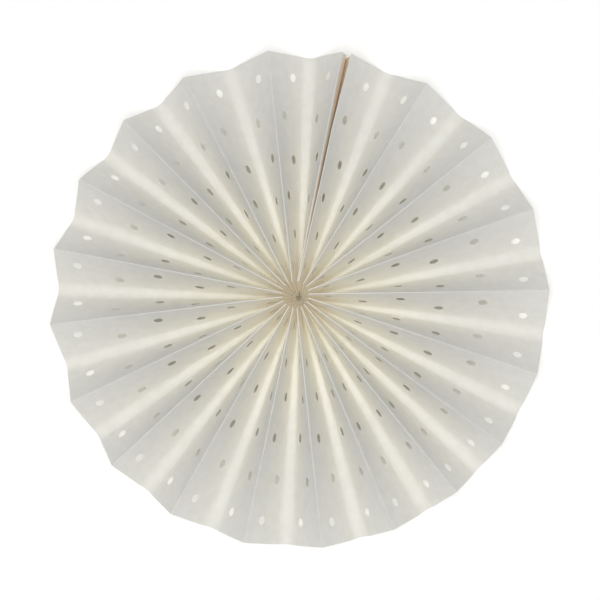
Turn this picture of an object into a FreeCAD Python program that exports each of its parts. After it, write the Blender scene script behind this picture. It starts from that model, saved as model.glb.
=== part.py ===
import FreeCAD, Part
import math
import os

# A folded paper fan opened into a full rosette, lying face up. Millimetres, +Z up.
# The origin is on the surface that the fan rests on, under the middle of the hub.

# Paper strip
PAPER = 0.2                 # thickness of the paper
PLEAT_DEPTH = 36.0          # paper from one fold to the next
FOLD_HALF = 0.2             # half the width of a pressed fold
VALLEY_RIM_HALF = 4.0       # half the width of a valley's soft bottom at the rim

# Open fan. Bearings are in degrees, counter-clockwise from +X.
SEAM_BEARING = 79.0
PLEAT_SPREAD = (18, 20.5, 17, 17, 17, 17.5, 18.5, 17.5, 17.5, 18,
                18, 17, 16.5, 15, 18, 19.5, 19, 19, 19.5, 20)
RIM_VALLEY_RADIUS = 146.4
RIM_RIDGE_RADIUS = 148.8
HUB_RISE = 19.0             # the hub's valleys stand this high above the rim's
HUB_RIDGE_RADIUS = 7.9      # mouth of the funnel at the hub
PACK_GAP = 0.06             # air between pressed folds at the hub

# The panels twist from upright at the hub to sloping at the rim, in flat facets
FACET_SHARES = (0.0, 0.12, 0.42, 1.0)
VALLEY_FACETS = 2

# Punched holes: distance of each row's middle from the rim edge, and its place
# across the panels as a share of the pleat, the same way round on every panel
HOLE_RADIUS = 2.75
HOLE_SIDES = 7              # flat sides that stand for the round edge
HOLE_ROWS = ((14.0, 0.36), (39.0, 0.66), (64.5, 0.36), (88.5, 0.66), (110.0, 0.36), (132.0, 0.66))
PUNCH_REACH_HUB = 0.45      # the punch passes this far beyond the paper's middle
PUNCH_REACH_RIM = 1.6

# Seam: both ends of the strip turn down here and are held by double-sided tape
FLAP_DEPTH = 24.0
SEAM_RIM_GAP = 4.4          # between the two seam folds at the rim
TAPE_THICK = 0.15
TAPE_WIDTH = 12.0
TAPE_EDGE_INSET = 1.0       # from the flaps' lower edge
TAPE_HUB_INSET = 8.0
TAPE_RIM_INSET = 3.0
FLAP_KINK_INSET = 1.0       # the flaps lean apart from this far above the tape

# Thread that gathers the hub
THREAD_RADIUS = 0.25
THREAD_SIDES = 5
THREAD_RING_RADIUS = 4.2
THREAD_RISE = 6.0           # above the hub's valleys
THREAD_CLEARANCE = 0.15     # of the hole that it passes in each panel
KNOT_RADIUS = 1.7
KNOT_SIDES = 8

UP = FreeCAD.Vector(0, 0, 1)
PLEATS = len(PLEAT_SPREAD)
HUB_PITCH = 2 * FOLD_HALF + PAPER + PACK_GAP
HUB_SLOTS = PLEATS + 1      # one for each valley and one for the seam
HUB_SLOT_ANGLE = 360.0 / HUB_SLOTS
HUB_VALLEY_RADIUS = HUB_SLOTS * HUB_PITCH / (2 * math.pi)
FLAP_OFFSET = (TAPE_THICK + PAPER) / 2
FUNNEL_LEAN = HUB_RIDGE_RADIUS - HUB_VALLEY_RADIUS
HUB_RIDGE_HEIGHT = HUB_RISE + math.sqrt(PLEAT_DEPTH ** 2 - FUNNEL_LEAN ** 2)
THREAD_HEIGHT = HUB_RISE + THREAD_RISE


def polar(radius, bearing, height):
    turn = math.radians(bearing)
    return FreeCAD.Vector(radius * math.cos(turn), radius * math.sin(turn), height)


def unit(vector):
    return vector * (1 / vector.Length)


def mix(start, end, share):
    return start + (end - start) * share


class Fold:
    """One fold of the strip at the hub or the rim, with the points across its bend."""

    def __init__(self, bearing, radius, height, half, facets=1, lift=0.0, aside=0.0):
        across = polar(1, bearing + 90, 0)
        self.half = half
        self.middle = polar(radius, bearing, height) + across * aside
        self.points = []
        for k in range(facets + 1):
            side = 2.0 * k / facets - 1
            self.points.append(self.middle + across * (half * side) + UP * (lift * side ** 2))


def rim_bearings():
    """Bearings of the ridges, then the valleys, round the rim."""
    total = sum(PLEAT_SPREAD)
    ridges = [SEAM_BEARING]
    for spread in PLEAT_SPREAD:
        ridges.append(ridges[-1] + spread * 360.0 / total)
    valleys = [(a + b) / 2 for a, b in zip(ridges[:-1], ridges[1:])]
    return ridges, valleys


def rim_ridge_height(spread):
    """How high a ridge stands at the rim when its two panels span this many degrees."""
    out = RIM_RIDGE_RADIUS - RIM_VALLEY_RADIUS * math.cos(math.radians(spread / 2))
    aside = RIM_VALLEY_RADIUS * math.sin(math.radians(spread / 2))
    return math.sqrt(PLEAT_DEPTH ** 2 - out ** 2 - aside ** 2)


def folds_at_rim():
    """Ridge, valley, ridge and so on, from one end of the strip to the other."""
    ridges, valleys = rim_bearings()
    folds = []
    for k in range(PLEATS + 1):
        if 0 < k < PLEATS:
            spread, aside = valleys[k] - valleys[k - 1], 0.0
        else:
            spread, aside = valleys[0] - valleys[-1] + 360.0, SEAM_RIM_GAP / 2
        if k == PLEATS:
            aside = -aside
        height = rim_ridge_height(spread)
        folds.append(Fold(ridges[k], RIM_RIDGE_RADIUS, PAPER / 2 + height, FOLD_HALF, aside=aside))
        if k < PLEATS:
            slope = math.atan2(height, RIM_VALLEY_RADIUS * math.radians(spread / 2))
            lift = VALLEY_RIM_HALF * math.tan(slope / 2)
            floor = PAPER / 2 / math.cos(slope / 2)
            folds.append(Fold(valleys[k], RIM_VALLEY_RADIUS, floor, VALLEY_RIM_HALF, VALLEY_FACETS, lift))
    return folds


def folds_at_hub():
    """The same folds where the thread packs them together, with one slot left for the seam."""
    seam_aside = FLAP_OFFSET + FOLD_HALF
    folds = []
    for k in range(PLEATS + 1):
        bearing, aside = SEAM_BEARING + HUB_SLOT_ANGLE * (k + 0.5), 0.0
        if k == 0:
            bearing, aside = SEAM_BEARING, seam_aside
        if k == PLEATS:
            bearing, aside = SEAM_BEARING, -seam_aside
        folds.append(Fold(bearing, HUB_RIDGE_RADIUS, HUB_RIDGE_HEIGHT, FOLD_HALF, aside=aside))
        if k < PLEATS:
            bearing = SEAM_BEARING + HUB_SLOT_ANGLE * (k + 1)
            folds.append(Fold(bearing, HUB_VALLEY_RADIUS, HUB_RISE, FOLD_HALF, VALLEY_FACETS, FOLD_HALF))
    return folds


class Seam:
    """The upright plane where the strip's two ends meet."""

    def __init__(self, hub, rim):
        self.across = polar(1, SEAM_BEARING + 90, 0)
        self.hub = self.flatten(hub[0].middle)
        self.rim = self.flatten(rim[0].middle)
        self.along = unit(self.rim - self.hub)
        self.down = unit(self.across.cross(self.along))
        if self.down.z > 0:
            self.down = self.down * -1

    def flatten(self, point):
        return point - self.across * point.dot(self.across)

    def flap_points(self, fold, side):
        """The flap's lower edge and the kink above the tape, under this fold."""
        kink = FLAP_DEPTH - TAPE_EDGE_INSET - TAPE_WIDTH - FLAP_KINK_INSET
        top = self.flatten(fold.middle) + self.across * (FLAP_OFFSET * side)
        return [top + self.down * depth for depth in (FLAP_DEPTH, kink)]


def strip_outline(folds, seam):
    """Points of the paper's middle at one end of the pleats."""
    points = seam.flap_points(folds[0], 1)
    for fold in folds:
        points += fold.points
    return points + seam.flap_points(folds[-1], -1)[::-1]


def skin_offsets(points, lines):
    """From the paper's middle to its face at each point, mitred at the folds."""
    normals = []
    for k in range(len(points) - 1):
        run = points[k + 1] - points[k]
        normals.append((unit(lines[k].cross(run)), unit(lines[k + 1].cross(run))))
    offsets = [normals[0][0] * (PAPER / 2)]
    for (_, left), (right, _) in zip(normals[:-1], normals[1:]):
        offsets.append((left + right) * (PAPER / 2 / (1 + left.dot(right))))
    return offsets + [normals[-1][1] * (PAPER / 2)]


def facet(a, b, c, d, flip=False):
    """Two flat triangles over four corners, cut from a to c, or from b to d."""
    if flip:
        a, b, c, d = b, c, d, a
    return [Part.Face(Part.makePolygon([a, b, c, a])), Part.Face(Part.makePolygon([a, c, d, a]))]


def solid_from(faces):
    shell = Part.makeShell(faces)
    shell.sewShape()
    solid = Part.makeSolid(shell)
    if solid.Volume < 0:
        solid.reverse()
    return solid


def cut_from_b(points, k):
    """A panel's diagonal runs from its valley at the hub side to its ridge at the rim side."""
    return points[k].z > points[k + 1].z


def strip_solid(hub_points, rim_points):
    """The whole strip as one solid of flat facets."""
    lines = [unit(far - near) for near, far in zip(hub_points, rim_points)]
    tops, bases = [], []
    for share in FACET_SHARES:
        points = [mix(near, far, share) for near, far in zip(hub_points, rim_points)]
        offsets = skin_offsets(points, lines)
        tops.append([p + o for p, o in zip(points, offsets)])
        bases.append([p - o for p, o in zip(points, offsets)])
    faces = []
    last = len(hub_points) - 1
    for skins in (tops, bases):
        for near, far in zip(skins[:-1], skins[1:]):
            for k in range(last):
                faces += facet(near[k], near[k + 1], far[k + 1], far[k], cut_from_b(hub_points, k))
    for top, base in ((tops[0], bases[0]), (tops[-1], bases[-1])):
        for k in range(last):
            faces += facet(top[k], top[k + 1], base[k + 1], base[k])
    for k in (0, last):
        for row in range(len(tops) - 1):
            faces += facet(tops[row][k], tops[row + 1][k], bases[row + 1][k], bases[row][k])
    return solid_from(faces)


def on_panel(corners, along, across, flip):
    """The point of a faceted panel at these shares of its row, and the facet's normal."""
    a, b, c, d = corners
    if flip and along + across < 1:
        origin, out, side = a, d - a, b - a
        point = origin + out * along + side * across
    elif flip:
        origin, out, side = c, b - c, d - c
        point = origin + out * (1 - along) + side * (1 - across)
    elif across > along:
        out, side = c - b, b - a
        point = a + side * across + out * along
    else:
        out, side = d - a, c - d
        point = a + out * along + side * across
    return point, unit(out.cross(side))


def punch(centre, axis, reach):
    """A many-sided punch with the area of the round hole."""
    corner_radius = HOLE_RADIUS * math.sqrt(2 * math.pi / HOLE_SIDES / math.sin(2 * math.pi / HOLE_SIDES))
    level = unit(axis.cross(UP))
    steep = axis.cross(level)
    ring = []
    for k in range(HOLE_SIDES):
        turn = 2 * math.pi * (k + 0.5) / HOLE_SIDES
        ring.append(centre - axis * reach + (level * math.cos(turn) + steep * math.sin(turn)) * corner_radius)
    return Part.Face(Part.makePolygon(ring + ring[:1])).extrude(axis * (2 * reach))


def punches(hub, rim):
    """A punch square to the paper at every hole of every panel."""
    tools = []
    for k in range(len(hub) - 1):
        near_a, near_b = hub[k].points[-1], hub[k + 1].points[0]
        far_a, far_b = rim[k].points[-1], rim[k + 1].points[0]
        length = ((far_a - near_a).Length + (far_b - near_b).Length) / 2
        flip = near_a.z > near_b.z
        for from_rim, place in HOLE_ROWS:
            share = 1 - from_rim / length
            fold_a = mix(hub[k].middle, rim[k].middle, share)
            fold_b = mix(hub[k + 1].middle, rim[k + 1].middle, share)
            half_a = mix(hub[k].half, rim[k].half, share)
            half_b = mix(hub[k + 1].half, rim[k + 1].half, share)
            span = (fold_b - fold_a).Length
            across = (place * span - half_a) / (span - half_a - half_b)
            row = max(n for n, start in enumerate(FACET_SHARES[:-1]) if start <= share)
            low, high = FACET_SHARES[row], FACET_SHARES[row + 1]
            corners = [mix(near_a, far_a, low), mix(near_b, far_b, low),
                       mix(near_b, far_b, high), mix(near_a, far_a, high)]
            centre, axis = on_panel(corners, (share - low) / (high - low), across, flip)
            tools.append(punch(centre, axis, mix(PUNCH_REACH_HUB, PUNCH_REACH_RIM, share)))
    return tools


def thread_ring(radius):
    """The thread's way round the hub: straight from one pair of panels to the next."""
    rings = []
    for k in range(HUB_SLOTS):
        bearing = SEAM_BEARING + HUB_SLOT_ANGLE * (k + 0.5)
        ring = []
        for m in range(THREAD_SIDES):
            turn = 2 * math.pi * m / THREAD_SIDES
            ring.append(polar(THREAD_RING_RADIUS + radius * math.cos(turn), bearing,
                              THREAD_HEIGHT + radius * math.sin(turn)))
        rings.append(ring)
    faces = []
    for here, there in zip(rings, rings[1:] + rings[:1]):
        for m in range(THREAD_SIDES):
            n = (m + 1) % THREAD_SIDES
            faces.append(Part.Face(Part.makePolygon([here[m], here[n], there[n], there[m], here[m]])))
    return solid_from(faces)


def pleated_sheet(hub, rim, seam):
    sheet = strip_solid(strip_outline(hub, seam), strip_outline(rim, seam))
    return sheet.cut(punches(hub, rim) + [thread_ring(THREAD_RADIUS + THREAD_CLEARANCE)])


def knot():
    """The tied knot in the middle of the hub, as a many-sided bead."""
    girdle = KNOT_RADIUS * math.sin(math.pi / 4)
    outline = [(0.0, -KNOT_RADIUS), (girdle, -girdle), (KNOT_RADIUS, 0.0), (girdle, girdle), (0.0, KNOT_RADIUS)]
    faces = []
    for (low_r, low_z), (high_r, high_z) in zip(outline[:-1], outline[1:]):
        for k in range(KNOT_SIDES):
            start, end = 360.0 * k / KNOT_SIDES, 360.0 * (k + 1) / KNOT_SIDES
            corners = [polar(low_r, start, THREAD_HEIGHT + low_z), polar(high_r, start, THREAD_HEIGHT + high_z)]
            if high_r > 0:
                corners.append(polar(high_r, end, THREAD_HEIGHT + high_z))
            if low_r > 0:
                corners.append(polar(low_r, end, THREAD_HEIGHT + low_z))
            faces.append(Part.Face(Part.makePolygon(corners + corners[:1])))
    return solid_from(faces)


def hub_thread():
    """The thread's ring through the panels, its run in through the seam, and its knot."""
    run_face = []
    for m in range(THREAD_SIDES):
        turn = 360.0 * m / THREAD_SIDES
        aside = polar(1, SEAM_BEARING + 90, 0) * (THREAD_RADIUS * math.sin(math.radians(turn)))
        run_face.append(aside + UP * (THREAD_HEIGHT + THREAD_RADIUS * math.cos(math.radians(turn))))
    run = Part.Face(Part.makePolygon(run_face + run_face[:1])).extrude(polar(THREAD_RING_RADIUS, SEAM_BEARING, 0))
    return thread_ring(THREAD_RADIUS).fuse([run, knot()])


def seam_tape(seam):
    """Double-sided tape between the two end flaps."""
    low = FLAP_DEPTH - TAPE_EDGE_INSET
    high = low - TAPE_WIDTH
    near = seam.hub + seam.along * TAPE_HUB_INSET
    far = seam.rim - seam.along * TAPE_RIM_INSET
    corners = [near + seam.down * high, far + seam.down * high, far + seam.down * low, near + seam.down * low]
    base = [corner - seam.across * (TAPE_THICK / 2) for corner in corners]
    return Part.Face(Part.makePolygon(base + base[:1])).extrude(seam.across * TAPE_THICK)


def main():
    hub, rim = folds_at_hub(), folds_at_rim()
    seam = Seam(hub, rim)
    nodes = {
        "pleated_sheet": pleated_sheet(hub, rim, seam),
        "hub_thread": hub_thread(),
        "seam_tape": seam_tape(seam),
    }
    os.makedirs("parts", exist_ok=True)
    for name, shape in nodes.items():
        solid = shape.Solids[0] if len(shape.Solids) == 1 else shape
        solid.exportStep(f"parts/{name}.step")
        box = solid.BoundBox
        print(name, "solids", len(shape.Solids), "valid", solid.isValid(), "volume", round(solid.Volume, 2),
              "box", [round(v, 2) for v in (box.XMin, box.YMin, box.ZMin, box.XMax, box.YMax, box.ZMax)])


main()
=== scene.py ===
import logging
import math
from collections.abc import Sequence
from dataclasses import dataclass, field
from enum import Enum

import bpy
import numpy as np
from mathutils import Matrix, Vector


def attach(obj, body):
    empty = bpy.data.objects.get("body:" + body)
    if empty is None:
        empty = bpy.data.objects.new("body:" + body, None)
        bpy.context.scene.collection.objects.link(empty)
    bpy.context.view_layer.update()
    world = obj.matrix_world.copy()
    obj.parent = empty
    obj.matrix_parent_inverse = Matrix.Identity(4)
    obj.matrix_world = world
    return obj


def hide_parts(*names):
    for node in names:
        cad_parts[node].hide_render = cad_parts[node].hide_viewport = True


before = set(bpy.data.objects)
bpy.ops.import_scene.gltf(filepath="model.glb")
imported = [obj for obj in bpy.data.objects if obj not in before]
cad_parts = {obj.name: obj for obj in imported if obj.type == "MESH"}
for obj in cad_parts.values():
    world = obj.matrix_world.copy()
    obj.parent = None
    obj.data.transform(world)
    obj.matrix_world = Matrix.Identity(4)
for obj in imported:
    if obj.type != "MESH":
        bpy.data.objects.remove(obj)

# A folded paper fan opened into a full rosette, lying face up. Metres, +Z up, bearings in
# degrees counter-clockwise from +X, seen from above.
LOG = logging.getLogger("paper_rosette")
MM = 0.001
Rgb = tuple[float, float, float]
Pairs = tuple[tuple[float, float], ...]
Socket = bpy.types.NodeSocket


def polar(radius: float, bearing: float, height: float) -> np.ndarray:
    """Gives the point at a radius, a bearing in degrees and a height.

    Args:
        radius: Distance from the hub's axis.
        bearing: Direction in degrees, counter-clockwise from +X.
        height: Height above the surface that the fan rests on.

    Returns:
        The point as an array of three coordinates.
    """
    turn = math.radians(bearing)
    return np.array([radius * math.cos(turn), radius * math.sin(turn), height])


def unit(vectors: np.ndarray) -> np.ndarray:
    """Scales vectors, held along the last axis, to length one."""
    return vectors / np.linalg.norm(vectors, axis=-1, keepdims=True)


def dot(a: np.ndarray, b: np.ndarray) -> np.ndarray:
    """Takes the dot product along the last axis."""
    return np.sum(a * b, axis=-1)


def mix(start: np.ndarray, end: np.ndarray, share: np.ndarray) -> np.ndarray:
    """Blends two points by shares, one row of the result for each share."""
    return start + (end - start) * np.asarray(share)[..., None]


def smooth_step(low: float, high: float, value: np.ndarray) -> np.ndarray:
    """Rises smoothly from 0 at low to 1 at high."""
    share = np.clip((value - low) / (high - low), 0.0, 1.0)
    return share * share * (3 - 2 * share)


class FoldKind(Enum):
    """Which way a fold points when the fan lies face up."""

    RIDGE = -1
    VALLEY = 1


class Zone(Enum):
    """Which stretch of a panel's width a column of the mesh lies in."""

    START_BEND = "start_bend"
    FLAT = "flat"
    END_BEND = "end_bend"


@dataclass(frozen=True)
class Sway:
    """How far a fold strays from a straight line, at most, half way out."""

    aside: float = 0.0
    rise: float = 0.0


@dataclass(frozen=True)
class FoldLine:
    """One fold of the strip, from the hub out to the rim."""

    kind: FoldKind
    hub: np.ndarray
    rim: np.ndarray
    hub_across: np.ndarray
    rim_across: np.ndarray
    hub_half: float
    rim_half: float
    sway: Sway = Sway()
    closing: Pairs = ()

    def across(self, reach: np.ndarray) -> np.ndarray:
        """Gives the level direction square to the fold, towards larger bearings."""
        return unit(mix(self.hub_across, self.rim_across, reach))

    def middle(self, reach: np.ndarray) -> np.ndarray:
        """Gives the fold's middle line.

        Args:
            reach: Shares of the way from the hub, 0, to the rim, 1.

        Returns:
            One point for each share.
        """
        reach = np.asarray(reach, float)
        wander = np.sin(np.pi * np.clip(reach, 0, 1)) ** 2
        points = mix(self.hub, self.rim, reach)
        aside = wander * self.sway.aside
        if self.closing:
            marks, moves = zip(*self.closing)
            aside = aside + np.interp(reach, marks, moves)
        points = points + self.across(reach) * aside[..., None]
        points[..., 2] += wander * self.sway.rise
        return points

    def normal(self, reach: np.ndarray) -> np.ndarray:
        """Gives the upward direction square to the fold and to its level direction."""
        return unit(np.cross(self.rim - self.hub, self.across(reach)))

    def half(self, reach: np.ndarray) -> np.ndarray:
        """Gives half the width of the fold's rounded bend."""
        return self.hub_half + (self.rim_half - self.hub_half) * np.asarray(reach)


class Bend:
    """One side of a fold's rounded bend, an arc that starts level and turns to the panel."""

    FIRST_ANGLE = 60.0

    def __init__(self, fold: FoldLine, side: int, reach: np.ndarray) -> None:
        """Sets the bend's frame at each reach.

        Args:
            fold: The fold that the bend belongs to.
            side: +1 for the side of larger bearings, -1 for the other.
            reach: Shares of the way from the hub to the rim.
        """
        self.middle = fold.middle(reach)
        self.out = fold.across(reach) * side
        self.lift = fold.normal(reach) * fold.kind.value
        self.half = fold.half(reach)
        self.angle = np.full(self.half.shape, math.radians(self.FIRST_ANGLE))

    def point(self, share: float | np.ndarray) -> np.ndarray:
        """Gives the points at a share of the bend's turn."""
        size = self.half / np.sin(self.angle)
        turn = self.angle * share
        return (self.middle + self.out * (size * np.sin(turn))[..., None]
                + self.lift * (size * (1 - np.cos(turn)))[..., None])

    def length(self) -> np.ndarray:
        """Gives the length of paper in the bend."""
        return self.half * self.angle / np.sin(self.angle)

    def aim(self, target: np.ndarray) -> None:
        """Turns the bend until it runs on straight to the target points."""
        run = target - self.point(1.0)
        self.angle = np.arctan2(dot(run, self.lift), dot(run, self.out))


class Panel:
    """The paper between two neighbouring folds, at given shares of the way to the rim."""

    AIM_ROUNDS = 5
    VALLEY_SIDE = 8.0 * MM
    BOW_REACH = (0.05, 0.6)

    def __init__(self, start: FoldLine, end: FoldLine, width: float, bow: float,
                 reach: np.ndarray) -> None:
        """Fits a bend at each fold and the straight stretch between them.

        Args:
            start: The fold at the smaller bearing.
            end: The fold at the larger bearing.
            width: Paper from one fold to the next.
            bow: How far the panel's middle bulges at the rim.
            reach: Shares of the way from the hub to the rim.
        """
        self.reach = np.asarray(reach, float)
        self.width = width
        self.bow = bow
        self.valley_first = start.kind is FoldKind.VALLEY
        self.start = Bend(start, 1, self.reach)
        self.end = Bend(end, -1, self.reach)
        for _ in range(self.AIM_ROUNDS):
            self.start.aim(self.end.point(1.0))
            self.end.aim(self.start.point(1.0))

    def flat(self, distance: float | np.ndarray) -> np.ndarray:
        """Gives points of the straight stretch, with those near the valley moved clear of its bend.

        Args:
            distance: Distance across the paper from the first fold, one or one for each reach.

        Returns:
            One point for each reach.
        """
        first, last = self.start.point(1.0), self.end.point(1.0)
        lead, tail = self.start.length(), self.end.length()
        from_valley = distance if self.valley_first else self.width - distance
        bend = lead if self.valley_first else tail
        beside = bend + (self.VALLEY_SIDE - bend) * from_valley / self.VALLEY_SIDE
        from_valley = np.where(from_valley < self.VALLEY_SIDE, beside, from_valley)
        distance = from_valley if self.valley_first else self.width - from_valley
        share = (distance - lead) / (self.width - lead - tail)
        bulge = self.bow * np.sin(np.pi * share) * smooth_step(*self.BOW_REACH, self.reach)
        out = unit(np.cross(last - first, np.cross(last - first, self.start.lift)))
        return mix(first, last, share) + out * bulge[..., None]

    def at(self, zone: Zone, value: float) -> np.ndarray:
        """Gives one column of points.

        Args:
            zone: The stretch of the panel that the column lies in.
            value: Share of the bend's turn, or the distance from the first fold.

        Returns:
            One point for each reach.
        """
        if zone is Zone.START_BEND:
            return self.start.point(value)
        if zone is Zone.END_BEND:
            return self.end.point(value)
        return self.flat(value)


@dataclass(frozen=True)
class FanLayout:
    """The driving sizes of the open fan and the folds that follow from them."""

    paper: float = 0.2 * MM
    pleat_depth: float = 36.0 * MM
    seam_bearing: float = 79.0
    spreads: tuple[float, ...] = (18, 20.5, 17, 17, 17, 17.5, 18.5, 17.5, 17.5, 18,
                                  18, 17, 16.5, 15, 18, 19.5, 19, 19, 19.5, 20)
    rim_valley_radius: float = 146.4 * MM
    rim_ridge_radius: float = 148.8 * MM
    hub_rise: float = 19.0 * MM
    hub_ridge_radius: float = 7.9 * MM
    pressed_half: float = 0.2 * MM
    ridge_rim_half: float = 0.2 * MM
    valley_rim_half: float = 5.2 * MM
    pack_gap: float = 0.06 * MM
    seam_rim_gap: float = 4.4 * MM
    tape_thick: float = 0.15 * MM
    sway: float = 0.35 * MM
    seed: int = 11
    seam_closing: Pairs = ((0.0, 0.0), (0.45, 0.1 * MM), (0.68, 0.4 * MM), (0.8, -0.1 * MM),
                           (1.0, -1.2 * MM))

    @property
    def pleats(self) -> int:
        """Counts the pleats."""
        return len(self.spreads)

    @property
    def slot_angle(self) -> float:
        """Gives the hub's share of the circle for each valley, with one left for the seam."""
        return 360.0 / (self.pleats + 1)

    @property
    def hub_valley_radius(self) -> float:
        """Gives the radius at which the pressed folds fill the hub's circle."""
        pitch = 2 * self.pressed_half + self.paper + self.pack_gap
        return (self.pleats + 1) * pitch / (2 * math.pi)

    @property
    def hub_ridge_height(self) -> float:
        """Gives the height of the ridges at the hub."""
        lean = self.hub_ridge_radius - self.hub_valley_radius
        return self.hub_rise + math.sqrt(self.pleat_depth ** 2 - lean ** 2)

    @property
    def flap_offset(self) -> float:
        """Gives the distance of a flap's middle from the seam's plane."""
        return (self.tape_thick + self.paper) / 2

    def bearings(self) -> tuple[list[float], list[float]]:
        """Gives the bearings of the ridges and of the valleys at the rim."""
        ridges = [self.seam_bearing]
        for spread in self.spreads:
            ridges.append(ridges[-1] + spread * 360.0 / sum(self.spreads))
        return ridges, [(a + b) / 2 for a, b in zip(ridges[:-1], ridges[1:])]

    def ridge_height(self, spread: float) -> float:
        """Gives a ridge's height at the rim above its valleys, from the angle between them."""
        out = self.rim_ridge_radius - self.rim_valley_radius * math.cos(math.radians(spread / 2))
        aside = self.rim_valley_radius * math.sin(math.radians(spread / 2))
        return math.sqrt(self.pleat_depth ** 2 - out ** 2 - aside ** 2)

    def fold(self, kind: FoldKind, hub: tuple[float, float], rim: tuple[float, float, float],
             hub_aside: float = 0.0, rim_aside: float = 0.0, sway: Sway = Sway(),
             closing: Pairs = ()) -> FoldLine:
        """Lays out one fold.

        Args:
            kind: Ridge or valley.
            hub: The fold's bearing and height at the hub.
            rim: The fold's bearing, height and half width at the rim.
            hub_aside: Sideways shift at the hub.
            rim_aside: Sideways shift at the rim.
            sway: How far the fold strays from straight.
            closing: Reaches and the sideways moves there of a fold at the seam.

        Returns:
            The fold line.
        """
        ridge = kind is FoldKind.RIDGE
        hub_radius = self.hub_ridge_radius if ridge else self.hub_valley_radius
        rim_radius = self.rim_ridge_radius if ridge else self.rim_valley_radius
        hub_across, rim_across = polar(1, hub[0] + 90, 0), polar(1, rim[0] + 90, 0)
        return FoldLine(kind, polar(hub_radius, *hub) + hub_across * hub_aside,
                        polar(rim_radius, *rim[:2]) + rim_across * rim_aside,
                        hub_across, rim_across, self.pressed_half, rim[2], sway, closing)

    def folds(self) -> list[FoldLine]:
        """Gives ridge, valley, ridge and so on, from one end of the strip to the other."""
        draw = np.random.default_rng(self.seed)
        ridges, valleys = self.bearings()
        seam_aside = self.flap_offset + self.pressed_half
        folds = []
        for k in range(self.pleats + 1):
            inner = 0 < k < self.pleats
            side = 0 if inner else (1 if k == 0 else -1)
            spread = valleys[k] - valleys[k - 1] if inner else valleys[0] - valleys[-1] + 360.0
            height = self.ridge_height(spread)
            hub_bearing = self.seam_bearing + (self.slot_angle * (k + 0.5) if inner else 0.0)
            stray = Sway(*(draw.uniform(-1, 1, 2) * self.sway)) if inner else Sway()
            closing = self.seam_closing if k == self.pleats else ()
            folds.append(self.fold(FoldKind.RIDGE, (hub_bearing, self.hub_ridge_height),
                                   (ridges[k], self.paper / 2 + height, self.ridge_rim_half),
                                   side * seam_aside, side * self.seam_rim_gap / 2, stray, closing))
            if k < self.pleats:
                slope = math.atan2(height, self.rim_valley_radius * math.radians(spread / 2))
                floor = self.paper / 2 / math.cos(slope / 2)
                stray = Sway(draw.uniform(-1, 1) * self.sway, 0.0)
                hub_bearing = self.seam_bearing + self.slot_angle * (k + 1)
                folds.append(self.fold(FoldKind.VALLEY, (hub_bearing, self.hub_rise),
                                       (valleys[k], floor, self.valley_rim_half), sway=stray))
        return folds


@dataclass(frozen=True)
class Hole:
    """A round hole: where its middle falls in the strip's grid, and its radius."""

    panel: int
    row: int
    column: int
    distance: float
    radius: float


@dataclass
class MeshParts:
    """Vertices, faces and per-vertex values gathered while a mesh is put together."""

    points: list[np.ndarray] = field(default_factory=list)
    faces: list[tuple[int, ...]] = field(default_factory=list)
    values: dict[str, list[np.ndarray]] = field(default_factory=dict)
    count: int = 0

    def add(self, points: np.ndarray, **values: np.ndarray) -> np.ndarray:
        """Adds points and their values.

        Args:
            points: One row of three coordinates for each point.
            values: Named arrays with one value for each point.

        Returns:
            The numbers that the points have in the mesh.
        """
        numbers = np.arange(self.count, self.count + len(points))
        self.points.append(points)
        for name, value in values.items():
            self.values.setdefault(name, []).append(np.broadcast_to(value, len(points)))
        self.count += len(points)
        return numbers

    def to_object(self, name: str, sharp_angle: float) -> bpy.types.Object:
        """Makes the mesh object.

        Args:
            name: The piece's name.
            sharp_angle: Edges that turn by more than this many degrees stay sharp.

        Returns:
            The object, linked to the scene.
        """
        mesh = bpy.data.meshes.new(name)
        mesh.from_pydata(np.concatenate(self.points).tolist(), [], self.faces)
        for key, value in self.values.items():
            layer = mesh.attributes.new(key, "FLOAT", "POINT")
            layer.data.foreach_set("value", np.concatenate(value).astype(np.float32))
        mesh.polygons.foreach_set("use_smooth", [True] * len(mesh.polygons))
        mesh.update()
        mesh.set_sharp_from_angle(angle=math.radians(sharp_angle))
        piece = bpy.data.objects.new(name, mesh)
        bpy.context.scene.collection.objects.link(piece)
        return piece


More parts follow.
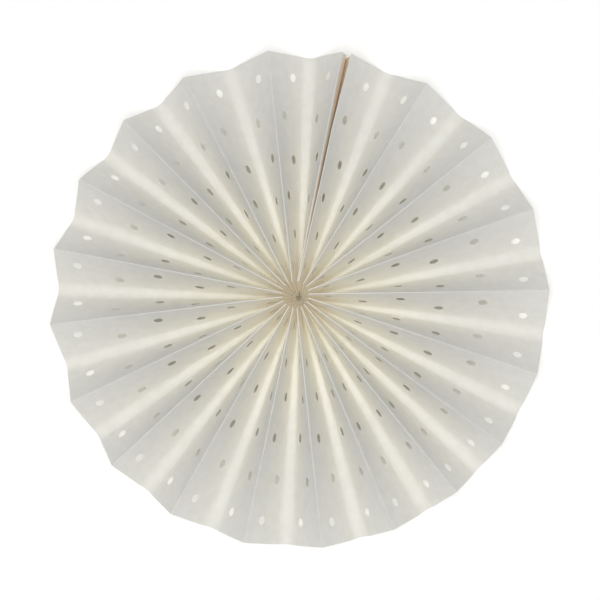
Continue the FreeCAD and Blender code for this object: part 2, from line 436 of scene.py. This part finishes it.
@dataclass
class PleatedSheet:
    """The folded strip: forty twisted panels, their punched holes and the two end flaps."""

    BLOCK_STEPS = ((1, 0), (1, 1), (0, 1), (-1, 1), (-1, 0), (-1, -1), (0, -1), (1, -1))
    NORMAL_STEP = 0.2 * MM

    layout: FanLayout
    hole_radius: float = 2.75 * MM
    hole_rows: Pairs = ((14.0 * MM, 0.36), (39.0 * MM, 0.66), (64.5 * MM, 0.36),
                        (88.5 * MM, 0.66), (110.0 * MM, 0.36), (132.0 * MM, 0.66))
    hole_block: float = 4.2 * MM
    thread_hole_radius: float = 0.4 * MM
    thread_hole_block: float = 0.7 * MM
    thread_hole_from_hub: float = 1.05 * MM
    thread_hole_from_valley: float = 6.0 * MM
    rim_sides_per_edge: int = 3
    row_step: float = 4.3 * MM
    ridge_steps: int = 3
    valley_steps: int = 5
    crease_width: float = 1.2 * MM
    flap_depths: tuple[float, ...] = (24.0 * MM, 17.0 * MM, 10.0 * MM, 5.0 * MM)
    flap_kink: float = 10.0 * MM
    flap_bulge: float = 1.2 * MM
    bow: float = 0.4 * MM
    sharp_angle: float = 38.0
    seed: int = 5

    def __post_init__(self) -> None:
        """Works out the folds, the rows and the panels' bows."""
        self.folds = self.layout.folds()
        self.length = float(np.mean([np.linalg.norm(f.rim - f.hub) for f in self.folds]))
        self.rows = self.row_places()
        draw = np.random.default_rng(self.seed)
        self.bows = draw.uniform(-self.bow, self.bow, len(self.folds) - 1)

    def row_places(self) -> np.ndarray:
        """Gives the rows' distances from the hub, with three rows at each row of holes."""
        blocks = [(self.thread_hole_from_hub, self.thread_hole_block)]
        blocks += sorted((self.length - from_rim, self.hole_block)
                         for from_rim, _ in self.hole_rows)
        rows = [0.0]
        for middle, half in blocks:
            rows += self.spaced(rows[-1], middle - half) + [middle, middle + half]
        rows += self.spaced(rows[-1], self.length)
        return np.array(rows)

    def spaced(self, start: float, end: float) -> list[float]:
        """Gives evenly spaced places after the start, up to the end."""
        steps = max(1, round((end - start) / self.row_step))
        return [start + (end - start) * (k + 1) / steps for k in range(steps)]

    def flat_distances(self, valley_first: bool) -> list[float]:
        """Gives a panel's mesh columns between its bends, as distances from its first fold."""
        width = self.layout.pleat_depth
        places = [share * width for share in sorted({share for _, share in self.hole_rows})]
        distances = [place + step for place in places
                     for step in (-self.hole_block, 0.0, self.hole_block)]
        thread = [self.thread_hole_from_valley + step * self.thread_hole_block
                  for step in (-1, 0, 1)]
        ridge = [self.crease_width, self.hole_block + self.crease_width / 2]
        if valley_first:
            return sorted(distances + thread + [width - place for place in ridge])
        return sorted(distances + ridge + [width - place for place in thread])

    def stations(self, valley_first: bool) -> list[tuple[Zone, float]]:
        """Gives a panel's mesh columns in order, its two folds' middles among them."""
        start_steps, end_steps = self.ridge_steps, self.valley_steps
        if valley_first:
            start_steps, end_steps = end_steps, start_steps
        stations = [(Zone.START_BEND, k / start_steps) for k in range(start_steps + 1)]
        stations += [(Zone.FLAT, distance) for distance in self.flat_distances(valley_first)]
        return stations + [(Zone.END_BEND, 1 - k / end_steps) for k in range(end_steps + 1)]

    def panel(self, number: int, reach: np.ndarray) -> Panel:
        """Gives one panel of the strip at these reaches."""
        return Panel(self.folds[number], self.folds[number + 1], self.layout.pleat_depth,
                     self.bows[number], reach)

    def flap_columns(self, fold: FoldLine, side: int) -> list[np.ndarray]:
        """Gives the columns of an end flap, from its lower edge up to its fold.

        Args:
            fold: The seam fold that the flap hangs from.
            side: +1 for the flap at the start of the strip, -1 for the one at its end.

        Returns:
            One array of points for each column.
        """
        across = polar(1, self.layout.seam_bearing + 90, 0)
        reach = self.rows / self.length
        top = mix(fold.hub, fold.rim, reach)
        top = top - across * dot(top, across)[:, None] + across * (self.layout.flap_offset * side)
        down = unit(np.cross(across, top[-1] - top[0]))
        down = down if down[2] < 0 else -down
        kink = top + down * self.flap_kink
        bend = Bend(fold, -side, reach)
        for _ in range(Panel.AIM_ROUNDS):
            bend.aim(kink)
        columns = []
        for depth in self.flap_depths:
            if depth >= self.flap_kink:
                columns.append(top + down * depth)
            else:
                bulge = across * (self.flap_bulge * reach ** 2)[:, None]
                columns.append(mix(bend.point(1.0), kink, depth / self.flap_kink) - bulge)
        return columns + [bend.point(1 - k / self.ridge_steps) for k in range(self.ridge_steps)]

    def grid(self) -> tuple[np.ndarray, np.ndarray, np.ndarray, list[Hole]]:
        """Lays out the middle of the paper.

        Returns:
            Points by row and column, each column's ridge mask for the painted highlight and fibre
            whitening, its end-flap mask for the painted shade, and the holes.
        """
        reach = self.rows / self.length
        columns = self.flap_columns(self.folds[0], 1)
        # The first list marks the ridge bends for their painted highlight and fibre whitening; the
        # second marks the end flaps for their painted shade.
        crease = [0.0] * len(self.flap_depths) + [1.0] * self.ridge_steps
        flap = [1.0] * len(self.flap_depths) + [0.0] * self.ridge_steps
        holes = []
        for number in range(len(self.folds) - 1):
            panel = self.panel(number, reach)
            valley_first = self.folds[number].kind is FoldKind.VALLEY
            for zone, value in self.stations(valley_first)[0 if number == 0 else 1:]:
                in_valley = (zone is Zone.START_BEND) == valley_first
                columns.append(panel.at(zone, value))
                crease.append(float(zone is not Zone.FLAT and not in_valley))
                flap.append(0.0)
                if zone is Zone.FLAT:
                    holes += self.holes_here(number, len(columns) - 1, value, valley_first)
        last = self.flap_columns(self.folds[-1], -1)[::-1]
        columns += last
        crease += [1.0] * self.ridge_steps + [0.0] * len(self.flap_depths)
        flap += [0.0] * self.ridge_steps + [1.0] * len(self.flap_depths)
        return np.stack(columns, axis=1), np.array(crease), np.array(flap), holes

    def holes_here(self, panel: int, column: int, distance: float,
                   valley_first: bool) -> list[Hole]:
        """Gives the holes whose middles lie in one column.

        Args:
            panel: The panel's number.
            column: The column's number in the strip's grid.
            distance: The column's distance from the panel's first fold.
            valley_first: True where that fold is a valley.

        Returns:
            The punched holes and the thread's hole of this column, if any.
        """
        width = self.layout.pleat_depth
        holes = []
        for from_rim, share in self.hole_rows:
            if math.isclose(distance, share * width):
                row = int(np.argmin(abs(self.rows - (self.length - from_rim))))
                holes.append(Hole(panel, row, column, distance, self.hole_radius))
        from_valley = distance if valley_first else width - distance
        if math.isclose(from_valley, self.thread_hole_from_valley):
            row = int(np.argmin(abs(self.rows - self.thread_hole_from_hub)))
            holes.append(Hole(panel, row, column, distance, self.thread_hole_radius))
        return holes

    def hole_edge(self, hole: Hole) -> tuple[np.ndarray, np.ndarray]:
        """Gives the points of a hole's edge in the paper's middle, and the normals there."""
        count = len(self.BLOCK_STEPS) * self.rim_sides_per_edge
        turn = np.linspace(0, 2 * np.pi, count, endpoint=False)
        out = self.rows[hole.row] + hole.radius * np.cos(turn)
        distance = hole.distance + hole.radius * np.sin(turn)
        step = self.NORMAL_STEP
        points = self.panel(hole.panel, out / self.length).flat(distance)
        further = self.panel(hole.panel, (out + step) / self.length).flat(distance)
        beside = self.panel(hole.panel, out / self.length).flat(distance + step)
        return points, unit(np.cross(further - points, beside - points))

    def ring_faces(self, border: np.ndarray, edge: np.ndarray, flip: bool) -> list[tuple[int, ...]]:
        """Joins the points round a hole's block to the many points of its edge.

        Args:
            border: Numbers of the block's outer points, in the order of BLOCK_STEPS.
            edge: Numbers of the hole's edge points, in the same order.
            flip: True on the underside.

        Returns:
            The triangles between them.
        """
        sides, faces = self.rim_sides_per_edge, []
        turn = sides // 2
        for j in range(len(border)):
            here, there = border[j], border[(j + 1) % len(border)]
            around = [edge[(sides * j + k) % len(edge)] for k in range(sides + 1)]
            faces += [(here, around[k + 1], around[k]) for k in range(turn)]
            faces.append((here, there, around[turn]))
            faces += [(there, around[k + 1], around[k]) for k in range(turn, sides)]
        return [face[::-1] for face in faces] if flip else faces

    def build(self) -> bpy.types.Object:
        """Builds the whole strip as one closed mesh.

        Returns:
            The sheet's object.
        """
        middle, crease, flap, holes = self.grid()
        rows, columns = middle.shape[:2]
        outward = np.gradient(middle, axis=0)
        onward = np.gradient(middle, axis=1)
        normal = unit(np.cross(outward, onward))
        half = self.layout.paper / 2
        covered = np.zeros((rows, columns), bool)
        gone = np.zeros((rows, columns), bool)
        for hole in holes:
            covered[hole.row - 1:hole.row + 1, hole.column - 1:hole.column + 1] = True
            gone[hole.row, hole.column] = True
        reach = np.repeat((self.rows / self.length)[:, None], columns, axis=1)
        parts = MeshParts()
        numbers = []
        for side in (1, -1):
            number = np.full((rows, columns), -1)
            number[~gone] = parts.add((middle + normal * (half * side))[~gone],
                                      crease=np.broadcast_to(crease, gone.shape)[~gone],
                                      flap=np.broadcast_to(flap, gone.shape)[~gone],
                                      reach=reach[~gone])
            numbers.append(number)
            for r in range(rows - 1):
                for c in range(columns - 1):
                    if not covered[r, c]:
                        face = (number[r, c], number[r + 1, c],
                                number[r + 1, c + 1], number[r, c + 1])
                        parts.faces.append(face if side > 0 else face[::-1])
        top, base = numbers
        self.add_edges(parts, top, base)
        for hole in holes:
            self.add_hole(parts, hole, top, base)
        return parts.to_object("pleated_paper", self.sharp_angle)

    def add_edges(self, parts: MeshParts, top: np.ndarray, base: np.ndarray) -> None:
        """Closes the paper's cut edges: hub, rim and the two flap ends."""
        last = len(top) - 1
        for c in range(top.shape[1] - 1):
            parts.faces.append((base[last, c], base[last, c + 1], top[last, c + 1], top[last, c]))
            parts.faces.append((top[0, c], top[0, c + 1], base[0, c + 1], base[0, c]))
        for r in range(last):
            parts.faces.append((base[r, -1], top[r, -1], top[r + 1, -1], base[r + 1, -1]))
            parts.faces.append((base[r + 1, 0], top[r + 1, 0], top[r, 0], base[r, 0]))

    def add_hole(self, parts: MeshParts, hole: Hole, top: np.ndarray, base: np.ndarray) -> None:
        """Cuts one round hole: the faces round it on both sides and the wall between them.

        Args:
            parts: The mesh being put together.
            hole: The hole.
            top: Numbers of the upper side's points by row and column.
            base: Numbers of the underside's points, in the same way.
        """
        points, normals = self.hole_edge(hole)
        half = self.layout.paper / 2
        reach = self.rows[hole.row] / self.length
        rims = []
        for number, side in ((top, 1), (base, -1)):
            edge = parts.add(points + normals * (half * side), crease=0.0, flap=0.0, reach=reach)
            border = np.array([number[hole.row + r, hole.column + c] for r, c in self.BLOCK_STEPS])
            parts.faces += self.ring_faces(border, edge, side < 0)
            rims.append(edge)
        for k in range(len(points)):
            n = (k + 1) % len(points)
            parts.faces.append((rims[0][k], rims[0][n], rims[1][n], rims[1][k]))


@dataclass
class HubThread:
    """The two-ply thread that gathers the hub: its ring, its runs through the seam and its knot."""

    STEEP = 0.8
    PLY_PHASES = (0.0, math.pi)

    layout: FanLayout
    ring_radius: float = 4.17 * MM
    rise: float = 6.0 * MM
    ply_radius: float = 0.12 * MM
    ply_offset: float = 0.125 * MM
    twist_pitch: float = 1.3 * MM
    ply_sides: int = 8
    sample_step: float = 0.1 * MM
    run_aside: float = 0.3 * MM
    run_start_share: float = 2.2
    knot_scale: float = 0.45 * MM
    knot_rise: float = 0.45 * MM
    knot_samples: int = 180
    tail_bearings: tuple[float, float] = (20.0, 250.0)
    tail_start_share: float = 1.5
    tail_length: float = 1.6 * MM
    tail_lean: float = 0.3 * MM
    tail_bend: float = 0.4 * MM
    sharp_angle: float = 50.0

    @property
    def height(self) -> float:
        """Gives the thread's height above the floor."""
        return self.layout.hub_rise + self.rise

    def ring(self) -> np.ndarray:
        """Gives the thread's closed way round the hub."""
        count = int(2 * np.pi * self.ring_radius / self.sample_step)
        turn = np.linspace(0, 2 * np.pi, count, endpoint=False)
        return np.stack([self.ring_radius * np.cos(turn), self.ring_radius * np.sin(turn),
                         np.full(count, self.height)], axis=1)

    def knot(self) -> np.ndarray:
        """Gives the closed over-and-under way of the knot, a trefoil."""
        turn = np.linspace(0, 2 * np.pi, self.knot_samples, endpoint=False)
        x = np.sin(turn) + 2 * np.sin(2 * turn)
        y = np.cos(turn) - 2 * np.cos(2 * turn)
        z = -np.sin(3 * turn)
        return np.stack([x * self.knot_scale, y * self.knot_scale,
                         z * self.knot_rise + self.height], axis=1)

    def run(self, side: int) -> np.ndarray:
        """Gives one of the two runs from the ring in to the knot."""
        along = polar(1, self.layout.seam_bearing, 0)
        aside = polar(1, self.layout.seam_bearing + 90, 0) * (self.run_aside * side)
        inner = self.run_start_share * self.knot_scale
        count = int((self.ring_radius - inner) / self.sample_step)
        out = np.linspace(inner, self.ring_radius, count)
        return along * out[:, None] + aside + np.array([0, 0, self.height])

    def tail(self, bearing: float) -> np.ndarray:
        """Gives one of the thread's cut ends, which stands up from the knot."""
        share = np.linspace(0, 1, int(self.tail_length / self.sample_step))
        start_radius = self.knot_scale * self.tail_start_share
        start = polar(start_radius, bearing, self.height + self.knot_rise)
        lean = polar(self.tail_lean, bearing, self.tail_length)
        bend = polar(self.tail_bend, bearing + 90, 0)
        return start + lean * share[:, None] + bend * (share ** 2)[:, None]

    def add_ply(self, parts: MeshParts, path: np.ndarray, phase: float,
                closed: bool) -> None:
        """Adds one ply, wound round a path.

        Args:
            parts: The mesh being put together.
            path: Points of the thread's middle.
            phase: Where round the path the ply starts, in radians.
            closed: True where the path's end meets its start.
        """
        ahead = np.roll(path, -1, axis=0) - np.roll(path, 1, axis=0)
        if not closed:
            ahead[0], ahead[-1] = path[1] - path[0], path[-1] - path[-2]
        ahead = unit(ahead)
        steep = abs(ahead[:, 2:]) > self.STEEP
        side = unit(np.cross(ahead, np.where(steep, [1.0, 0.0, 0.0], [0.0, 0.0, 1.0])))
        lift = np.cross(side, ahead)
        steps = np.linalg.norm(np.diff(path, axis=0), axis=1)
        distance = np.concatenate([[0.0], np.cumsum(steps)])
        turns = distance[-1] / self.twist_pitch
        if closed:
            length = distance[-1] + np.linalg.norm(path[0] - path[-1])
            turns = round(length / self.twist_pitch) * distance[-1] / length
        wind = phase + 2 * np.pi * turns * distance / distance[-1]
        winding = side * np.cos(wind)[:, None] + lift * np.sin(wind)[:, None]
        core = path + winding * self.ply_offset
        turn = np.linspace(0, 2 * np.pi, self.ply_sides, endpoint=False)[:, None]
        rings = []
        for k in range(len(path)):
            out = side[k] * np.cos(turn) + lift[k] * np.sin(turn)
            rings.append(parts.add(core[k] + out * self.ply_radius))
        pairs = list(zip(rings, rings[1:])) + ([(rings[-1], rings[0])] if closed else [])
        for here, there in pairs:
            for m in range(self.ply_sides):
                n = (m + 1) % self.ply_sides
                parts.faces.append((here[m], here[n], there[n], there[m]))
        if not closed:
            parts.faces.append(tuple(rings[0][::-1]))
            parts.faces.append(tuple(rings[-1]))

    def build(self) -> bpy.types.Object:
        """Builds the thread as one mesh of closed plies."""
        parts = MeshParts()
        ways = [(self.ring(), True), (self.knot(), True),
                (self.run(1), False), (self.run(-1), False)]
        ways += [(self.tail(bearing), False) for bearing in self.tail_bearings]
        for path, closed in ways:
            for phase in self.PLY_PHASES:
                self.add_ply(parts, path, phase, closed)
        return parts.to_object("gathering_thread", self.sharp_angle)


@dataclass(frozen=True)
class Noise:
    """A noise over the object, with its scale in features per metre."""

    scale: float
    detail: float
    roughness: float = 0.5


@dataclass(frozen=True)
class Grain:
    """A bump made by a noise."""

    noise: Noise
    depth: float
    strength: float


class Graph:
    """A short way to put a material's nodes together."""

    MIX_SHARE, MIX_FIRST, MIX_LAST, MIX_RESULT = 0, 6, 7, 2

    def __init__(self, name: str) -> None:
        """Starts a material with its shader and output."""
        self.material = bpy.data.materials.new(name)
        self.material.use_nodes = True
        self.tree = self.material.node_tree
        self.tree.nodes.clear()
        self.shader = self.tree.nodes.new("ShaderNodeBsdfPrincipled")
        output = self.tree.nodes.new("ShaderNodeOutputMaterial")
        self.tree.links.new(self.shader.outputs["BSDF"], output.inputs["Surface"])
        self.place = self.tree.nodes.new("ShaderNodeTexCoord").outputs["Object"]

    def link(self, source: Socket, node: bpy.types.Node, socket: str | int) -> None:
        """Links a value to a node's input."""
        self.tree.links.new(source, node.inputs[socket])

    def noise(self, noise: Noise) -> Socket:
        """Gives a noise value over the object."""
        node = self.tree.nodes.new("ShaderNodeTexNoise")
        node.inputs["Scale"].default_value = noise.scale
        node.inputs["Detail"].default_value = noise.detail
        node.inputs["Roughness"].default_value = noise.roughness
        self.link(self.place, node, "Vector")
        return node.outputs["Fac"]

    def distance_from_axis(self) -> Socket:
        """Gives the distance from the hub's upright axis, for a surface at floor height."""
        node = self.tree.nodes.new("ShaderNodeVectorMath")
        node.operation = "LENGTH"
        self.link(self.place, node, 0)
        return node.outputs["Value"]

    def product(self, first: Socket, second: Socket) -> Socket:
        """Multiplies two values."""
        node = self.tree.nodes.new("ShaderNodeMath")
        node.operation = "MULTIPLY"
        self.link(first, node, 0)
        self.link(second, node, 1)
        return node.outputs["Value"]

    def value(self, name: str) -> Socket:
        """Gives a value stored on the mesh."""
        node = self.tree.nodes.new("ShaderNodeAttribute")
        node.attribute_name = name
        return node.outputs["Fac"]

    def spread(self, source: Socket, low: float, high: float,
               first: float = 0.0, last: float = 1.0) -> Socket:
        """Maps a value smoothly from one range to another.

        Args:
            source: The value.
            low: Where the value's range starts.
            high: Where it ends.
            first: The result at low and before it.
            last: The result at high and past it.

        Returns:
            The mapped value.
        """
        node = self.tree.nodes.new("ShaderNodeMapRange")
        node.interpolation_type = "SMOOTHSTEP"
        names = ("From Min", "From Max", "To Min", "To Max")
        for socket, number in zip(names, (low, high, first, last)):
            node.inputs[socket].default_value = number
        self.link(source, node, "Value")
        return node.outputs["Result"]

    def blend(self, share: Socket, first: Rgb | Socket,
              last: Rgb | Socket) -> Socket:
        """Blends two colours.

        Args:
            share: 0 for the first colour, 1 for the last.
            first: A plain colour or a colour from another node.
            last: The same.

        Returns:
            The blended colour.
        """
        node = self.tree.nodes.new("ShaderNodeMix")
        node.data_type = "RGBA"
        self.link(share, node, self.MIX_SHARE)
        for number, colour in ((self.MIX_FIRST, first), (self.MIX_LAST, last)):
            if isinstance(colour, tuple):
                node.inputs[number].default_value = (*colour, 1.0)
            else:
                self.link(colour, node, number)
        return node.outputs[self.MIX_RESULT]

    def bump(self, grain: Grain) -> None:
        """Gives the shader a bump that stacks on any bump that it already has."""
        height = self.noise(grain.noise)
        node = self.tree.nodes.new("ShaderNodeBump")
        node.inputs["Distance"].default_value = grain.depth
        node.inputs["Strength"].default_value = grain.strength
        self.link(height, node, "Height")
        before = self.shader.inputs["Normal"].links
        if before:
            self.link(before[0].from_socket, node, "Normal")
        self.link(node.outputs["Normal"], self.shader, "Normal")


@dataclass(frozen=True)
class PaperFinish:
    """Matt off-white paper. It is lighter along the ridges: partly fibre whitening at the folds and
    partly a painted highlight. It has painted warm shade towards the hub, painted shade on the end
    flaps, and a painted glow that is strongest at the hub.
    """

    light: Rgb = (0.90, 0.89, 0.84)
    dark: Rgb = (0.86, 0.85, 0.795)
    # ridge: lighter colour on the ridge folds, partly fibre whitening at the fold and partly a
    # painted highlight where the crease catches the light.
    ridge: Rgb = (0.94, 0.925, 0.87)
    # hub: painted warm shade of the deep hub, where the paper is darker and tanner than the open
    # paper.
    hub: Rgb = (0.85, 0.815, 0.73)
    # flap: painted shade, a tan colour on the steep end flaps at the seam.
    flap: Rgb = (0.86, 0.77, 0.64)
    hub_shade_reach: float = 0.22
    # Painted glow: the paper emits a little warm light, most at the hub and none past the glow's
    # reach, standing in for light through and between the folds.
    painted_glow: float = 0.056
    painted_glow_reach: float = 0.62
    painted_glow_colour: Rgb = (1.0, 0.95, 0.84)
    sheerness: float = 0.4
    sheer_depth: float = 0.4 * MM
    sheer_spread: Rgb = (1.0, 0.95, 0.8)
    crease_reach: tuple[float, float] = (0.2, 1.0)
    crease_share: float = 0.6
    mottle: Noise = Noise(160.0, 5, 0.6)
    mottle_range: tuple[float, float] = (0.3, 0.7)
    fibres: Grain = Grain(Noise(2200.0, 4, 0.65), 0.03 * MM, 0.5)
    waves: Grain = Grain(Noise(90.0, 2), 0.25 * MM, 0.5)
    roughness: float = 0.92
    specular: float = 0.2

    def material(self) -> bpy.types.Material:
        """Makes the paper's material."""
        graph = Graph("matt_paper")
        mottle = graph.spread(graph.noise(self.mottle), *self.mottle_range)
        colour = graph.blend(mottle, self.dark, self.light)
        # Painted warm shade: the paper turns darker and tanner towards the hub.
        painted_hub_shade = graph.spread(graph.value("reach"), 0.0, self.hub_shade_reach, 1.0, 0.0)
        colour = graph.blend(painted_hub_shade, colour, self.hub)
        # Painted shade on the end flaps.
        colour = graph.blend(graph.spread(graph.value("flap"), 0.0, 1.0), colour, self.flap)
        # Ridge folds made lighter, most towards the hub: partly whitened fibres, partly a painted
        # highlight.
        inner = graph.spread(graph.value("reach"), *self.crease_reach, self.crease_share, 0.0)
        pressed = graph.product(graph.value("crease"), inner)
        colour = graph.blend(pressed, colour, self.ridge)
        graph.link(colour, graph.shader, "Base Color")
        graph.shader.inputs["Roughness"].default_value = self.roughness
        graph.shader.inputs["Specular IOR Level"].default_value = self.specular
        # Painted glow: emission that fades out from the hub and lifts the deep folds.
        glow = graph.spread(graph.value("reach"), 0.0, self.painted_glow_reach, self.painted_glow, 0.0)
        graph.link(glow, graph.shader, "Emission Strength")
        graph.shader.inputs["Emission Color"].default_value = (*self.painted_glow_colour, 1.0)
        graph.shader.inputs["Subsurface Weight"].default_value = self.sheerness
        graph.shader.inputs["Subsurface Radius"].default_value = self.sheer_spread
        graph.shader.inputs["Subsurface Scale"].default_value = self.sheer_depth
        graph.bump(self.fibres)
        graph.bump(self.waves)
        return graph.material


@dataclass(frozen=True)
class ThreadFinish:
    """Natural cotton thread with fine fibres."""

    light: Rgb = (0.52, 0.42, 0.27)
    dark: Rgb = (0.34, 0.26, 0.16)
    mottle: Noise = Noise(4000.0, 4, 0.7)
    fibres: Grain = Grain(Noise(9000.0, 3), 0.02 * MM, 0.6)
    roughness: float = 0.85
    sheen: float = 0.3

    def material(self) -> bpy.types.Material:
        """Makes the thread's material."""
        graph = Graph("cotton_thread")
        colour = graph.blend(graph.noise(self.mottle), self.dark, self.light)
        graph.link(colour, graph.shader, "Base Color")
        graph.shader.inputs["Roughness"].default_value = self.roughness
        graph.shader.inputs["Sheen Weight"].default_value = self.sheen
        graph.bump(self.fibres)
        return graph.material


@dataclass(frozen=True)
class TapeFinish:
    """Thin double-sided tape, yellowed in patches."""

    light: Rgb = (0.80, 0.76, 0.64)
    dark: Rgb = (0.66, 0.58, 0.42)
    mottle: Noise = Noise(300.0, 3)
    wrinkles: Grain = Grain(Noise(1500.0, 2), 0.02 * MM, 0.3)
    roughness: float = 0.4

    def material(self) -> bpy.types.Material:
        """Makes the tape's material."""
        graph = Graph("aged_tape")
        colour = graph.blend(graph.noise(self.mottle), self.dark, self.light)
        graph.link(colour, graph.shader, "Base Color")
        graph.shader.inputs["Roughness"].default_value = self.roughness
        graph.bump(self.wrinkles)
        return graph.material


@dataclass(frozen=True)
class SoftLight:
    """A square soft light, aimed at the middle of the fan."""

    name: str
    place: tuple[float, float, float]
    size: float
    power: float
    colour: Rgb

    def build(self) -> None:
        """Hangs the light."""
        data = bpy.data.lights.new(self.name, "AREA")
        data.size = self.size
        data.energy = self.power
        data.color = self.colour
        lamp = bpy.data.objects.new(self.name, data)
        lamp.location = self.place
        lamp.rotation_euler = (-Vector(self.place)).to_track_quat("-Z", "Y").to_euler()
        bpy.context.scene.collection.objects.link(lamp)


@dataclass
class Studio:
    """A plain pale floor, soft light from the front and the photograph's point of view."""

    floor_half: float = 3.0
    floor_colour: Rgb = (0.93, 0.93, 0.925)
    floor_roughness: float = 0.9
    floor_glow: float = 0.3
    glow_radii: tuple[float, float] = (0.09, 0.15)
    world_colour: Rgb = (0.95, 0.96, 1.0)
    world_strength: float = 0.365
    light_bounces: int = 16
    lights: tuple[SoftLight, ...] = (
        SoftLight("front_light", (0.06, -0.34, 2.8), 1.3, 35.5, (1.0, 0.99, 0.97)),
    )
    pixel: float = 0.6 * MM
    distance_pixels: float = 4000.0
    tilt_aside: float = 0.060
    tilt_up: float = 0.067
    centre_pixels: tuple[float, float] = (301.0, 300.55)
    image_pixels: float = 600.0
    sensor: float = 36.0
    camera_reach: float = 20.0

    def build_floor(self) -> None:
        """Lays the floor, which glows a little outside the fan: the photo's ground is white."""
        h = self.floor_half
        mesh = bpy.data.meshes.new("floor")
        mesh.from_pydata([(-h, -h, 0), (h, -h, 0), (h, h, 0), (-h, h, 0)], [], [(0, 1, 2, 3)])
        floor = bpy.data.objects.new("floor", mesh)
        bpy.context.scene.collection.objects.link(floor)
        graph = Graph("pale_floor")
        graph.shader.inputs["Base Color"].default_value = (*self.floor_colour, 1.0)
        graph.shader.inputs["Roughness"].default_value = self.floor_roughness
        graph.shader.inputs["Emission Color"].default_value = (1.0, 1.0, 1.0, 1.0)
        near, far = self.glow_radii
        glow = graph.spread(graph.distance_from_axis(), near, far, 0.0, self.floor_glow)
        graph.link(glow, graph.shader, "Emission Strength")
        mesh.materials.append(graph.material)

    def build_world(self) -> None:
        """Fills the shadows with plain pale light from all round."""
        world = bpy.data.worlds.new("studio_air")
        world.use_nodes = True
        background = world.node_tree.nodes["Background"]
        background.inputs["Color"].default_value = (*self.world_colour, 1.0)
        background.inputs["Strength"].default_value = self.world_strength
        bpy.context.scene.world = world
        bpy.context.scene.view_settings.view_transform = "Standard"
        bpy.context.scene.cycles.max_bounces = self.light_bounces
        bpy.context.scene.cycles.diffuse_bounces = self.light_bounces

    def build_camera(self) -> None:
        """Puts the camera where the photograph was taken from."""
        a, b = self.tilt_aside, self.tilt_up
        right = Vector((math.cos(a), 0, -math.sin(a)))
        up = Vector((math.sin(b) * math.sin(a), math.cos(b), math.sin(b) * math.cos(a)))
        back = Vector((math.cos(b) * math.sin(a), -math.sin(b), math.cos(b) * math.cos(a)))
        x, y = (c - self.image_pixels / 2 for c in self.centre_pixels)
        place = (back * self.distance_pixels - right * x + up * y) * self.pixel
        data = bpy.data.cameras.new("camera")
        data.sensor_width = self.sensor
        data.lens = self.sensor * self.distance_pixels / self.image_pixels
        data.clip_end = self.camera_reach
        camera = bpy.data.objects.new("camera", data)
        rotation = Matrix((right, up, back)).transposed().to_4x4()
        camera.matrix_world = Matrix.Translation(place) @ rotation
        bpy.context.scene.collection.objects.link(camera)
        bpy.context.scene.camera = camera

    def build(self) -> None:
        """Sets up the floor, the lights and the camera."""
        self.build_floor()
        self.build_world()
        for light in self.lights:
            light.build()
        self.build_camera()


def dress(piece: bpy.types.Object, material: bpy.types.Material) -> None:
    """Gives a new piece its material and its body.

    Args:
        piece: The piece.
        material: The material for all of it.
    """
    piece.data.materials.append(material)
    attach(piece, "root")
    mesh = piece.data
    LOG.info("%s: %d vertices, %d faces", piece.name, len(mesh.vertices), len(mesh.polygons))


def main() -> None:
    """Builds the fan and its studio."""
    logging.basicConfig(level=logging.INFO, format="%(name)s %(message)s")
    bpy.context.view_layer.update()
    layout = FanLayout()

    sheet = PleatedSheet(layout).build()
    dress(sheet, PaperFinish().material())
    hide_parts("pleated_sheet")

    thread = HubThread(layout).build()
    dress(thread, ThreadFinish().material())
    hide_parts("hub_thread")

    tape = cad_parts["seam_tape"]
    tape.data.materials.clear()
    tape.data.materials.append(TapeFinish().material())
    LOG.info("seam_tape: kept from the frame")

    Studio().build()


if __name__ == "__main__":
    main()
